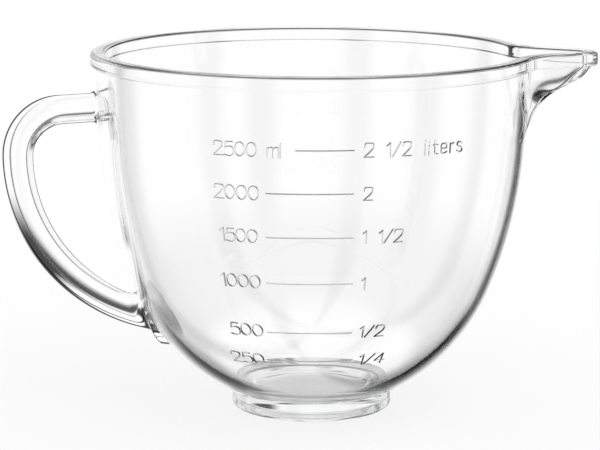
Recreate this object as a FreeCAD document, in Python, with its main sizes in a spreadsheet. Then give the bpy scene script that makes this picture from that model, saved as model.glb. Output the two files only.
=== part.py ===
import FreeCAD, Part
import math
import os
import Sketcher

# Glass bowl of a stand mixer: one pressed-glass piece with a ring foot, a deep
# round wall, a rolled rim, a pouring spout and a solid loop handle.
# Millimetres. The bowl's axis is Z and the foot's underside is z = 0. The spout
# points to +X, the handle to -X, and the XZ plane is the plane of symmetry.

DRIVING_SIZES = [
    # wall, side and floor of the bowl
    ("bowl_radius", 98.15, "outer radius of the wall where the side's arc ends"),
    ("wall_thickness", 4.5, "thickness of the glass"),
    ("wall_draft", 2.4, "degrees that the upper wall leans out"),
    ("side_arc", 214.0, "outer radius of the long arc of the side"),
    ("side_angle", 22.0, "degrees from upright at the side arc's lower end"),
    ("floor_height", 8.0, "height of the flat middle of the inside floor"),
    ("floor_blend", 40.0, "radius that blends the floor into the side"),
    # ring foot
    ("foot_radius", 37.3, "outer radius of the ring foot"),
    ("foot_height", 8.8, "height at which the foot meets the bowl"),
    ("foot_ring_width", 6.0, "width of the foot's ring"),
    ("foot_recess", 3.4, "depth of the recess inside the ring"),
    ("foot_recess_slope", 35.0, "degrees that the recess's side leans in"),
    ("foot_rounding", 2.2, "rounding of the ring's outer lower edge"),
    # rolled rim
    ("rim_height", 167.0, "height of the rim's crown"),
    ("rim_depth", 6.4, "height of the rolled rim"),
    ("rim_overhang", 2.5, "how far the rim stands out from the wall"),
    ("rim_crown_rounding", 3.2, "rounding of the rim's upper outer edge"),
    ("rim_under_rounding", 2.2, "rounding of the rim's lower outer edge"),
    ("rim_inner_rounding", 2.8, "rounding of the rim's inner edge"),
    # spout
    ("spout_depth", 33.6, "from the rim's underside down to the spout's root"),
    ("spout_reach", 29.0, "how far the spout's wall stands out at the lip"),
    ("spout_tip_radius", 8.0, "outer radius of the spout's tip at the lip"),
    ("spout_root_radius", 24.0, "radius from the wall into the flank at the lip"),
    ("spout_flank", 18.0, "length of the spout's straight flank at the lip"),
    ("spout_sector", 28.0, "degrees from X past which the wall stays round"),
    # handle
    ("arm_drop", 26.1, "from the rim's crown down to the arm's middle line"),
    ("arm_droop", 4.0, "degrees that the upper arm slopes down"),
    ("grip_distance", 37.0, "from the wall under the rim to the grip's middle"),
    ("handle_bend", 23.5, "radius of the upper bend, at its middle line"),
    ("grip_landing", 43.4, "height at which the grip's middle line meets the bowl"),
    ("grip_depth", 15.8, "thickness of the grip in the plane of the loop"),
    ("grip_back_radius", 10.5, "radius of the grip's round back, half its width"),
    ("grip_corner", 5.0, "rounding of the two corners on the finger side"),
    ("arm_fillet", 3.0, "rounding where the upper arm meets the wall"),
    ("grip_fillet", 6.0, "rounding where the grip meets the lower bowl"),
]

# The spout in level sections, from low to high. Each row gives shares of the
# sizes at the lip: height over the spout's root, reach, tip, root and flank.
SPOUT_SECTIONS = [
    (0.21, 0.070, 4.25, 1.42, 0.17),
    (0.43, 0.180, 2.75, 1.17, 0.28),
    (0.63, 0.430, 1.75, 1.05, 0.47),
    (0.82, 0.830, 1.20, 1.00, 0.80),
    (1.00, 1.000, 1.00, 1.00, 1.00),
]
# degrees from X at which the spout's lowest section, still round, is divided
SPOUT_ROOT_ANGLES = (15.0, 8.0, 6.0)
# share of the wall's thickness by which the upper arm is buried in it
ARM_BURIED = 0.8

doc = FreeCAD.newDocument("StandMixerBowl")
sheet = doc.addObject("Spreadsheet::Sheet", "Sizes")
rows = []


def keep(alias, value, note):
    """Write one size into the next row of the sheet and give back its value."""
    rows.append(alias)
    row = len(rows)
    sheet.set("A%d" % row, alias)
    sheet.set("B%d" % row, repr(float(value)))
    sheet.set("C%d" % row, note)
    sheet.setAlias("B%d" % row, alias)
    return value


size = {alias: keep(alias, value, note) for alias, value, note in DRIVING_SIZES}


def derive(alias, value, note="worked out from the sizes above"):
    """Keep a size that follows from the driving ones, under its own alias."""
    size[alias] = keep(alias, value, note)
    return value


# The outside profile is three tangent pieces: a round base centred on the axis,
# the long arc of the side and the drafted wall. The base starts at the foot.
draft = math.radians(size["wall_draft"])
turn = math.radians(size["side_angle"])
side_x = size["bowl_radius"] - size["side_arc"] * math.cos(draft)
base_arc = derive("base_arc", size["side_arc"] + side_x / math.cos(turn), "outer radius of the round base")
base_z = size["foot_height"] + math.sqrt(base_arc**2 - size["foot_radius"] ** 2)
derive("base_centre", base_z, "height of the round base's centre")
side_z = base_z + (size["side_arc"] - base_arc) * math.sin(turn)
derive("side_centre", side_z, "height of the side arc's centre")
lip_height = derive("lip_height", size["rim_height"] - size["rim_depth"], "underside of the rim")
spout_root = derive("spout_root", lip_height - size["spout_depth"], "height of the spout's root")


def radius_at(height, inset=0.0):
    """Radius of the wall at a height: of its outside, or of its inside by an inset."""
    side = size["side_arc"] - inset
    if height >= side_z - side * math.sin(draft):
        straight = height - side_z + size["side_arc"] * math.sin(draft)
        return size["bowl_radius"] + straight * math.tan(draft) - inset / math.cos(draft)
    if height >= side_z - side * math.sin(turn):
        return side_x + math.sqrt(side**2 - (height - side_z) ** 2)
    return math.sqrt((base_arc - inset) ** 2 - (height - base_z) ** 2)


wall_radius = derive("wall_radius", radius_at(lip_height), "outer radius of the wall under the rim")

body = doc.addObject("PartDesign::Body", "glass_bowl")
body.Label = "glass_bowl"
doc.recompute()


def vector(x, y, z=0.0):
    return FreeCAD.Vector(x, y, z)


def sketch_on(name, role, placement=None):
    """Make a sketch on one of the body's origin planes, moved by a placement."""
    sketch = body.newObject("Sketcher::SketchObject", name)
    for feature in body.Origin.OriginFeatures:
        if feature.Role == role:
            sketch.AttachmentSupport = (feature, "")
    sketch.MapMode = "FlatFace"
    if placement is not None:
        sketch.AttachmentOffset = placement
    return sketch


def line(sketch, start, end):
    return sketch.addGeometry(Part.LineSegment(vector(*start), vector(*end)))


def arc(sketch, centre, radius, start, end):
    """Add an arc, counter-clockwise from a start point to an end point."""
    first = math.atan2(start[1] - centre[1], start[0] - centre[0])
    last = math.atan2(end[1] - centre[1], end[0] - centre[0])
    circle = Part.Circle(vector(*centre), vector(0, 0, 1), radius)
    return sketch.addGeometry(Part.ArcOfCircle(circle, first, last))


def rule(sketch, kind, *places):
    sketch.addConstraint(Sketcher.Constraint(kind, *places))


def measure(sketch, kind, alias, *places):
    """Add a dimension that takes its value from a cell of the sheet."""
    value = size[alias]
    if kind == "Angle":
        value = math.radians(value)
    number = sketch.addConstraint(Sketcher.Constraint(kind, *places, value))
    sketch.renameConstraint(number, alias)
    sketch.setExpression("Constraints." + alias, "Sizes." + alias)


START, END, CENTRE = range(1, 4)
X_AXIS, Y_AXIS = -1, -2
ORIGIN = (-1, 1)


def check(feature):
    """Rebuild the model and stop if the feature failed."""
    doc.recompute()
    if "Invalid" in feature.State or "Error" in feature.State or not feature.Shape.isValid():
        raise RuntimeError(feature.Name + " failed: " + str(feature.State))
    return feature


def level(height):
    """Placement of a level sketch at a height."""
    return FreeCAD.Placement(vector(0, 0, height), FreeCAD.Rotation())


def wall_profile(sketch, prefix, inset, start):
    """Draw the turned wall from a start point on the base up to the spout's root.

    Base and side keep their centres and lose the inset in radius. The drafted
    line is drawn where the spout's root lies above the side's arc.
    """
    base = derive(prefix + "_base_arc", base_arc - inset)
    side = derive(prefix + "_side_arc", size["side_arc"] - inset)
    top = (derive(prefix + "_top_radius", radius_at(spout_root, inset)), spout_root)
    join = (side_x + side * math.cos(turn), side_z - side * math.sin(turn))
    bend = (side_x + side * math.cos(draft), side_z - side * math.sin(draft))
    straight = bend[1] < spout_root
    low = arc(sketch, (0, base_z), base, start, join)
    high = arc(sketch, (side_x, side_z), side, join, bend if straight else top)
    rule(sketch, "Tangent", low, END, high, START)
    rule(sketch, "PointOnObject", low, CENTRE, Y_AXIS)
    measure(sketch, "DistanceY", "base_centre", *ORIGIN, low, CENTRE)
    measure(sketch, "DistanceY", "side_centre", *ORIGIN, high, CENTRE)
    measure(sketch, "Radius", prefix + "_base_arc", low)
    measure(sketch, "Radius", prefix + "_side_arc", high)
    chain = [low, high]
    if straight:
        chain.append(line(sketch, bend, top))
        rule(sketch, "Tangent", high, END, chain[-1], START)
        measure(sketch, "DistanceX", prefix + "_top_radius", *ORIGIN, chain[-1], END)
    measure(sketch, "DistanceY", "spout_root", *ORIGIN, chain[-1], END)
    return chain


def close_profile(sketch, first, last, low):
    """Close a half profile with a lid at the spout's root and the axis."""
    radius = radius_at(spout_root, size["wall_thickness"] if low > size["foot_recess"] else 0.0)
    lid = line(sketch, (radius, spout_root), (0, spout_root))
    axis = line(sketch, (0, spout_root), (0, low))
    rule(sketch, "Coincident", last, END, lid, START)
    rule(sketch, "Coincident", lid, END, axis, START)
    rule(sketch, "Coincident", axis, END, first, START)
    rule(sketch, "Horizontal", lid)
    rule(sketch, "Vertical", axis)
    rule(sketch, "PointOnObject", first, START, Y_AXIS)


def turn_profile(kind, name, sketch):
    form = body.newObject("PartDesign::" + kind, name)
    form.Profile = sketch
    form.ReferenceAxis = (sketch, ["V_Axis"])
    form.Angle = 360.0
    return check(form)


# The bowl up to the spout's root is one turned form: ring foot, base and side.
def turned_outside():
    sketch = sketch_on("outside_profile", "XZ_Plane")
    foot = size["foot_radius"]
    foot_top = size["foot_height"]
    recess = size["foot_recess"]
    hollow = derive("foot_hollow_radius", foot - size["foot_ring_width"])
    roof_end = hollow - recess * math.tan(math.radians(size["foot_recess_slope"]))
    derive("foot_roof_radius", roof_end)
    roof = line(sketch, (0, recess), (roof_end, recess))
    slope = line(sketch, (roof_end, recess), (hollow, 0))
    ground = line(sketch, (hollow, 0), (foot, 0))
    outer = line(sketch, (foot, 0), (foot, foot_top))
    wall = wall_profile(sketch, "outer", 0.0, (foot, foot_top))
    edges = [roof, slope, ground, outer, wall[0]]
    for one, other in zip(edges, edges[1:]):
        rule(sketch, "Coincident", one, END, other, START)
    rule(sketch, "Horizontal", roof)
    rule(sketch, "Horizontal", ground)
    rule(sketch, "Vertical", outer)
    rule(sketch, "PointOnObject", ground, START, X_AXIS)
    measure(sketch, "DistanceY", "foot_recess", *ORIGIN, roof, START)
    measure(sketch, "DistanceX", "foot_roof_radius", *ORIGIN, roof, END)
    measure(sketch, "DistanceX", "foot_hollow_radius", *ORIGIN, ground, START)
    measure(sketch, "DistanceX", "foot_radius", *ORIGIN, ground, END)
    close_profile(sketch, roof, wall[-1], recess)
    return turn_profile("Revolution", "outside_turned", sketch)


# The hollow is turned too: a flat floor blended into the round base and side.
def turned_inside():
    sketch = sketch_on("inside_profile", "XZ_Plane")
    floor = size["floor_height"]
    blend = size["floor_blend"]
    base = base_arc - size["wall_thickness"]
    blend_z = floor + blend
    blend_x = math.sqrt((base - blend) ** 2 - (blend_z - base_z) ** 2)
    share = base / (base - blend)
    meet = (blend_x * share, base_z + (blend_z - base_z) * share)
    flat = line(sketch, (0, floor), (blend_x, floor))
    bend = arc(sketch, (blend_x, blend_z), blend, (blend_x, floor), meet)
    wall = wall_profile(sketch, "inner", size["wall_thickness"], meet)
    rule(sketch, "Tangent", flat, END, bend, START)
    rule(sketch, "Tangent", bend, END, wall[0], START)
    rule(sketch, "Horizontal", flat)
    measure(sketch, "DistanceY", "floor_height", *ORIGIN, flat, START)
    measure(sketch, "Radius", "floor_blend", bend)
    close_profile(sketch, flat, wall[-1], floor)
    return turn_profile("Groove", "inside_turned", sketch)


def on_circle(radius, angle):
    return (radius * math.cos(angle), radius * math.sin(angle))


def mirrored(point):
    return (point[0], -point[1])


def round_section(name, height, radius):
    """Level section of the wall at the spout's root: a circle in eight arcs."""
    sketch = sketch_on(name, "XY_Plane", level(height))
    derive(name + "_ring", radius)
    degrees = (size["spout_sector"],) + SPOUT_ROOT_ANGLES
    around = [on_circle(radius, math.radians(angle)) for angle in degrees]
    stops = around[:1] + [mirrored(point) for point in around] + around[::-1]
    arcs = [arc(sketch, (0, 0), radius, one, other) for one, other in zip(stops, stops[1:])]
    back, tip, flank, root = arcs[0], arcs[4], arcs[5], arcs[6]
    for piece in arcs[:-1]:
        rule(sketch, "Coincident", piece, CENTRE, *ORIGIN)
    for one, other in zip(arcs, arcs[1:] + arcs[:1]):
        rule(sketch, "Coincident", one, END, other, START)
    rule(sketch, "Equal", back, arcs[-1])
    rule(sketch, "Vertical", back, START, back, END)
    for low, high in ((1, 7), (2, 6), (3, 5)):
        rule(sketch, "Vertical", arcs[low], END, arcs[high], START)
    spans = {
        "back": (back, 360 - 2 * degrees[0]),
        "root": (root, degrees[1] - degrees[2]),
        "flank": (flank, degrees[2] - degrees[3]),
        "tip": (tip, 2 * degrees[3]),
    }
    measure(sketch, "Radius", name + "_ring", back)
    for part, (piece, span) in spans.items():
        derive(name + "_" + part + "_span", span)
        measure(sketch, "Angle", name + "_" + part + "_span", piece)
    return sketch


def spout_section(name, height, ring, middle, tip, root, flank, divided=True):
    """Level section of the wall with its spout, as one smooth closed outline.

    The ring bends out through a hollow root arc into a straight flank and round
    the tip, whose centre lies on X. A divided ring is cut at the spout's sector.
    """
    sketch = sketch_on(name, "XY_Plane", level(height))
    gap = math.hypot(tip + root, flank)
    reach = ring + root
    bearing = math.acos((reach**2 + middle**2 - gap**2) / (2 * reach * middle))
    hollow = on_circle(reach, bearing)
    facing = math.atan2(hollow[1], hollow[0] - middle) - math.atan2(flank, tip + root)
    across = on_circle(1.0, facing)
    leave = on_circle(ring, bearing)
    straight = (hollow[0] - root * across[0], hollow[1] - root * across[1])
    nose = (middle + tip * across[0], tip * across[1])
    low_hollow, low_leave = mirrored(hollow), mirrored(leave)
    low_straight, low_nose = mirrored(straight), mirrored(nose)
    chain = []
    if divided:
        far = on_circle(ring, math.radians(size["spout_sector"]))
        back = arc(sketch, (0, 0), ring, far, mirrored(far))
        chain.append(arc(sketch, (0, 0), ring, mirrored(far), low_leave))
    else:
        back = arc(sketch, (0, 0), ring, leave, low_leave)
    low_root = arc(sketch, low_hollow, root, low_straight, low_leave)
    low_flank = line(sketch, low_straight, low_nose)
    point = arc(sketch, (middle, 0), tip, low_nose, nose)
    high_flank = line(sketch, nose, straight)
    high_root = arc(sketch, hollow, root, leave, straight)
    if divided:
        chain.append(arc(sketch, (0, 0), ring, leave, far))
        rule(sketch, "Coincident", back, END, chain[0], START)
        rule(sketch, "Coincident", chain[1], END, back, START)
        rule(sketch, "Vertical", back, START, back, END)
        derive(name + "_back_span", 360 - 2 * size["spout_sector"])
        measure(sketch, "Angle", name + "_back_span", back)
    before, after = (chain[0], chain[1]) if divided else (back, back)
    for piece in [back] + chain:
        rule(sketch, "Coincident", piece, CENTRE, *ORIGIN)
    rule(sketch, "Tangent", before, END, low_root, END)
    rule(sketch, "Tangent", low_root, START, low_flank, START)
    rule(sketch, "Tangent", low_flank, END, point, START)
    rule(sketch, "Tangent", point, END, high_flank, START)
    rule(sketch, "Tangent", high_flank, END, high_root, END)
    rule(sketch, "Tangent", high_root, START, after, START)
    rule(sketch, "PointOnObject", point, CENTRE, X_AXIS)
    rule(sketch, "Vertical", point, START, point, END)
    rule(sketch, "Equal", low_root, high_root)
    for part, value in (("ring", ring), ("middle", middle), ("tip", tip), ("root", root), ("flank", flank)):
        derive(name + "_" + part, value)
    measure(sketch, "Radius", name + "_ring", back)
    measure(sketch, "DistanceX", name + "_middle", *ORIGIN, point, CENTRE)
    measure(sketch, "Radius", name + "_tip", point)
    measure(sketch, "Radius", name + "_root", high_root)
    measure(sketch, "Distance", name + "_flank", high_flank)
    return sketch


def lip_section(name, height, inset):
    """The spouted outline at the lip, moved in or out by an inset."""
    tip = size["spout_tip_radius"] - inset
    ring = radius_at(lip_height, inset)
    middle = wall_radius + size["spout_reach"] - size["spout_tip_radius"]
    root = size["spout_root_radius"] + inset
    return spout_section(name, height, ring, middle, tip, root, size["spout_flank"], divided=False)


def spout_sections(prefix, inset):
    """The level sections of the spout, from its round root up to the lip.

    Inwards, the keel is moved level by more than the wall's thickness where it
    slopes, so that the glass is as thick under the spout as beside it.
    """
    sketches = [round_section(prefix + "_0", spout_root, radius_at(spout_root, inset))]
    shares = [(0.0, 0.0)] + [row[:2] for row in SPOUT_SECTIONS]
    for number, (rise, reach, tip, root, flank) in enumerate(SPOUT_SECTIONS, start=1):
        height = spout_root + rise * size["spout_depth"]
        slant = 0.0
        if number < len(SPOUT_SECTIONS):
            before, after = shares[number - 1], shares[number + 1]
            out = (after[1] - before[1]) * size["spout_reach"]
            slant = out / ((after[0] - before[0]) * size["spout_depth"])
        extra = inset * (math.hypot(1.0, slant) - 1.0)
        middle = radius_at(height) + reach * size["spout_reach"] - tip * size["spout_tip_radius"] - extra
        sketches.append(spout_section(
            prefix + "_%d" % number, height, radius_at(height, inset), middle,
            tip * size["spout_tip_radius"] - inset,
            root * size["spout_root_radius"] + inset,
            flank * size["spout_flank"]))
    return sketches


def loft(kind, name, sketches):
    feature = body.newObject("PartDesign::" + kind, name)
    feature.Profile = sketches[0]
    feature.Sections = sketches[1:]
    feature.Ruled = False
    return check(feature)


# The handle is a D-section carried along a line, a short bend and a long curve.
# The curve starts upright below the bend and meets the bowl at the landing. It
# runs on inside by the grip's own thickness, so that the whole section is
# buried, and what stands into the bowl is cut away with the hollow.
arm_height = derive("arm_height", size["rim_height"] - size["arm_drop"], "height of the arm at its bend")
handle_reach = derive("handle_reach", wall_radius + size["grip_distance"], "from the axis to the grip")
arm_root = derive("arm_root", radius_at(arm_height) - ARM_BURIED * size["wall_thickness"])
bend_height = arm_height - size["handle_bend"] * math.cos(math.radians(size["arm_droop"]))
landing_out = handle_reach - radius_at(size["grip_landing"])
landing_down = bend_height - size["grip_landing"]
grip_arc = (landing_out**2 + landing_down**2) / (2 * landing_out)
derive("grip_arc", grip_arc, "radius of the long curve")


def handle():
    droop = math.radians(size["arm_droop"])
    bend = size["handle_bend"]
    reach = handle_reach
    bend_centre = (bend - reach, bend_height)
    bend_start = (bend_centre[0] - bend * math.sin(droop), arm_height)
    root = (-arm_root, arm_height - (bend_start[0] + arm_root) * math.tan(droop))
    derive("bend_span", 90 - size["arm_droop"])
    landing = math.degrees(math.atan2(landing_down, grip_arc - landing_out))
    sweep = derive("grip_sweep", landing + math.degrees(size["grip_depth"] / grip_arc))
    end = math.radians(180 + sweep)
    grip_centre = (grip_arc - reach, bend_height)
    grip_end = (grip_centre[0] + grip_arc * math.cos(end), grip_centre[1] + grip_arc * math.sin(end))

    spine = sketch_on("handle_line", "XZ_Plane")
    arm = line(spine, root, bend_start)
    upper = arc(spine, bend_centre, bend, bend_start, (-reach, bend_height))
    lower = arc(spine, grip_centre, grip_arc, (-reach, bend_height), grip_end)
    rule(spine, "Tangent", arm, END, upper, START)
    rule(spine, "Tangent", upper, END, lower, START)
    rule(spine, "Horizontal", upper, CENTRE, upper, END)
    measure(spine, "DistanceX", "arm_root", arm, START, *ORIGIN)
    measure(spine, "DistanceX", "handle_reach", upper, END, *ORIGIN)
    measure(spine, "DistanceY", "arm_height", *ORIGIN, upper, START)
    measure(spine, "Radius", "handle_bend", upper)
    measure(spine, "Angle", "bend_span", upper)
    measure(spine, "Radius", "grip_arc", lower)
    measure(spine, "Angle", "grip_sweep", lower)

    tilt = FreeCAD.Rotation(vector(1, 0, 0), -size["arm_droop"])
    section = sketch_on("handle_section", "YZ_Plane", FreeCAD.Placement(vector(0, root[1], root[0]), tilt))
    back = size["grip_back_radius"]
    corner = size["grip_corner"]
    half = derive("grip_half_depth", size["grip_depth"] / 2)
    back_drop = derive("grip_back_centre", back - half)
    corner_drop = half - corner
    corner_out = math.sqrt((back - corner) ** 2 - (corner_drop - back_drop) ** 2)
    share = back / (back - corner)
    side = (corner_out * share, -back_drop - (corner_drop - back_drop) * share)
    flat_end = (corner_out, -half)
    left_side, left_end = (-side[0], side[1]), (-flat_end[0], flat_end[1])
    crown = arc(section, (0, -back_drop), back, side, left_side)
    left = arc(section, (-corner_out, -corner_drop), corner, left_side, left_end)
    flat = line(section, left_end, flat_end)
    right = arc(section, (corner_out, -corner_drop), corner, flat_end, side)
    ring = [crown, left, flat, right]
    for one, other in zip(ring, ring[1:] + ring[:1]):
        rule(section, "Tangent", one, END, other, START)
    rule(section, "PointOnObject", crown, CENTRE, Y_AXIS)
    rule(section, "Horizontal", flat)
    rule(section, "Equal", left, right)
    measure(section, "Radius", "grip_back_radius", crown)
    measure(section, "Radius", "grip_corner", right)
    measure(section, "DistanceY", "grip_half_depth", flat, START, *ORIGIN)
    measure(section, "DistanceY", "grip_back_centre", crown, CENTRE, *ORIGIN)
    doc.recompute()
    pipe = body.newObject("PartDesign::AdditivePipe", "handle")
    pipe.Profile = section
    pipe.Spine = (spine, ["Edge1", "Edge2", "Edge3"])
    return check(pipe)


def root_edges(shape, low, high):
    """Names of the edges where the handle leaves the wall between two heights."""
    names = []
    for number, edge in enumerate(shape.Edges, start=1):
        points = edge.discretize(5)
        near = all(
            low < point.z < high and point.x < 0 and abs(point.y) < size["grip_back_radius"] + 0.5
            and abs(math.hypot(point.x, point.y) - radius_at(point.z)) < 0.05
            for point in points)
        if near:
            names.append("Edge%d" % number)
    return names


def round_edges(name, base, edges, alias):
    """Round the named edges of a feature by a radius from the sheet."""
    fillet = body.newObject("PartDesign::Fillet", name)
    fillet.Base = (base, edges)
    fillet.Radius = size[alias]
    fillet.setExpression("Radius", "Sizes." + alias)
    return check(fillet)


def circle_edge(shape, height, radius):
    """Name of the full circle at a height and radius about the bowl's axis."""
    names = []
    for number, edge in enumerate(shape.Edges, start=1):
        points = edge.discretize(7)
        if all(abs(point.z - height) < 0.001 and abs(math.hypot(point.x, point.y) - radius) < 0.001
               for point in points):
            names.append("Edge%d" % number)
    return names


def loop_edges(shape, height, outer):
    """Names of the edges round the level face at a height, outside or inside."""
    names = []
    for face in shape.Faces:
        if not isinstance(face.Surface, Part.Plane) or face.BoundBox.ZLength > 0.001:
            continue
        if abs(face.BoundBox.ZMin - height) > 0.001:
            continue
        for wire in face.Wires:
            if wire.isSame(face.OuterWire) != outer:
                continue
            for number, edge in enumerate(shape.Edges, start=1):
                if any(edge.isSame(other) for other in wire.Edges):
                    names.append("Edge%d" % number)
    return names


def straight_cut(kind, name, sketch, alias):
    """Raise or sink a level outline by a length from the sheet."""
    feature = body.newObject("PartDesign::" + kind, name)
    feature.Profile = sketch
    feature.Length = size[alias]
    feature.setExpression("Length", "Sizes." + alias)
    return check(feature)


# outside of the bowl with its foot
form = turned_outside()
round_edges("foot_edge", form, circle_edge(form.Shape, 0.0, size["foot_radius"]), "foot_rounding")
loft("AdditiveLoft", "outside_spout", spout_sections("outer_level", 0.0))

# handle, flared into the wall at both ends
form = handle()
edges = root_edges(form.Shape, bend_height, lip_height)
form = round_edges("arm_flare", form, edges, "arm_fillet")
edges = root_edges(form.Shape, size["foot_height"], bend_height)
form = round_edges("grip_flare", form, edges, "grip_fillet")

# rolled rim round the mouth and the spout, then the hollow of the bowl
straight_cut("Pad", "rim", lip_section("lip_outside", lip_height, -size["rim_overhang"]), "rim_depth")
turned_inside()
loft("SubtractiveLoft", "inside_spout", spout_sections("inner_level", size["wall_thickness"]))
mouth = lip_section("lip_inside", size["rim_height"], size["wall_thickness"])
form = straight_cut("Pocket", "mouth", mouth, "rim_depth")
for name, height, outer, alias in (
    ("rim_crown", size["rim_height"], True, "rim_crown_rounding"),
    ("rim_inner_edge", size["rim_height"], False, "rim_inner_rounding"),
    ("rim_under_edge", lip_height, True, "rim_under_rounding"),
):
    form = round_edges(name, form, loop_edges(form.Shape, height, outer), alias)

for item in doc.Objects:
    if "Invalid" in item.State or "Error" in item.State:
        raise RuntimeError(item.Name + " failed: " + str(item.State))
    if hasattr(item, "Shape") and (item.Shape.isNull() or not item.Shape.isValid()):
        raise RuntimeError(item.Name + " has no valid shape")

os.makedirs("parts", exist_ok=True)
body.Placement = FreeCAD.Placement()
body.Shape.exportStep("parts/" + body.Label + ".step")
box = body.Shape.BoundBox
print("%s: %d solid, %d faces, %.0f mm3, box %.2f x %.2f x %.2f mm" % (
    body.Label, len(body.Shape.Solids), len(body.Shape.Faces), body.Shape.Volume,
    box.XLength, box.YLength, box.ZLength))
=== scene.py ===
# %% [markdown]
# # A pressed-glass mixing bowl
# The object is the clear bowl of a stand mixer: one piece of soda-lime glass with
# a ring foot, a rolled rim, a pouring spout, a solid loop handle and raised volume
# marks. Clear glass has no colour of its own. What the eye reads is how its wall
# bends the room behind it, so the surfaces here have to be smooth, closed and of
# the right thickness, and the room has to hold something dark for the edges.

# %% Load the fixed frame
import math

import bpy
import numpy as np
from mathutils import Matrix, Vector


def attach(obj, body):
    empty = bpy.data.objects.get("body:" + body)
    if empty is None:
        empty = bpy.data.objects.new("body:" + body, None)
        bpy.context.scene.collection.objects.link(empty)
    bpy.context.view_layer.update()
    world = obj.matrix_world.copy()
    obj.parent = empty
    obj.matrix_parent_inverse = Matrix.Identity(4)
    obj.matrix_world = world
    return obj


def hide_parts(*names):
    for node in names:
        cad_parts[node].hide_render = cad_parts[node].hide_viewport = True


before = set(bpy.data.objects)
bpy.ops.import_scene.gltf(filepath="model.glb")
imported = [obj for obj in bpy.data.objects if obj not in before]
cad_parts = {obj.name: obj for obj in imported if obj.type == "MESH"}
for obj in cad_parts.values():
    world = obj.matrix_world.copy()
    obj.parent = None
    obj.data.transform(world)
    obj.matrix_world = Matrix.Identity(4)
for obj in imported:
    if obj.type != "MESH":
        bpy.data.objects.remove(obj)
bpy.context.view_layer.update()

MM = 0.001

# %% [markdown]
# ## The wall as a function of height
# A turned wall is easiest to handle as one function that gives its radius at any
# height. The bowl's side is three tangent pieces: a round base centred on the
# axis, one long arc, and a wall that leans out a little so that the glass leaves
# its mould. Its inside is the same form, made smaller by the thickness.

# %% Radius of the wall
THICKNESS = 4.5
RADIUS = 98.15
DRAFT = math.radians(2.4)  # lean of the wall above the long arc
TURN = math.radians(22.0)  # where the long arc meets the round base, below level
SIDE_ARC = 214.0
FOOT_RADIUS = 37.3
FOOT_TOP = 8.8
RIM_TOP = 167.0
RIM_DEPTH = 6.4
LIP = RIM_TOP - RIM_DEPTH
SIDE_X = RADIUS - SIDE_ARC * math.cos(DRAFT)
BASE_ARC = SIDE_ARC + SIDE_X / math.cos(TURN)
BASE_Z = FOOT_TOP + math.sqrt(BASE_ARC**2 - FOOT_RADIUS**2)
SIDE_Z = BASE_Z + (SIDE_ARC - BASE_ARC) * math.sin(TURN)


def wall_radius(z, inset=0.0):
    """Radius of the wall at height z, moved inwards by an inset.

    Cone above the side arc's end, then SIDE_X + sqrt(side^2 - (z - SIDE_Z)^2),
    then sqrt(base^2 - (z - BASE_Z)^2), where side and base lose the inset.
    """
    z = np.asarray(z, float)
    side = SIDE_ARC - inset
    over = z - SIDE_Z + SIDE_ARC * math.sin(DRAFT)
    cone = RADIUS + over * math.tan(DRAFT) - inset / math.cos(DRAFT)
    long_arc = SIDE_X + np.sqrt(np.clip(side**2 - (z - SIDE_Z) ** 2, 0, None))
    base = np.sqrt(np.clip((BASE_ARC - inset) ** 2 - (z - BASE_Z) ** 2, 0, None))
    low = np.where(z >= SIDE_Z - side * math.sin(TURN), long_arc, base)
    return np.where(z >= SIDE_Z - side * math.sin(DRAFT), cone, low)


print("round base radius %.2f mm, wall at the lip %.2f mm" % (BASE_ARC, wall_radius(LIP)))

# %% [markdown]
# ## The spout in level outlines
# A spout is drawn out of the round wall. Each level outline runs round the tip,
# along a straight flank and through a hollow root back on to the ring, with no
# corner. A handful of such outlines, joined smoothly in height, give the keel its
# sweep. The same number of points on each outline keeps the mesh lines flowing.

# %% Points along half an outline
STEPS = {"tip": 10, "flank": 5, "root": 12, "near": 10, "back": 88}
SECTOR_DEGREES = 28.0  # beyond this bearing every outline is the plain ring
SECTOR = math.radians(SECTOR_DEGREES)
ROUND_ANGLES = np.radians([0.0, 6.0, 8.0, 15.0, SECTOR_DEGREES, 180.0])


def shares(name, last=False):
    """Even steps from 0 towards 1 for one piece of the outline."""
    return np.linspace(0.0, 1.0, STEPS[name] + 1)[: None if last else -1]


def round_outline():
    """Half a unit circle, cut where the spout's pieces will start."""
    spans = zip(STEPS, ROUND_ANGLES[:-1], ROUND_ANGLES[1:])
    angles = [a + (b - a) * shares(name, name == "back") for name, a, b in spans]
    angles = np.concatenate(angles)
    return np.stack([np.cos(angles), np.sin(angles)], axis=-1)


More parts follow.
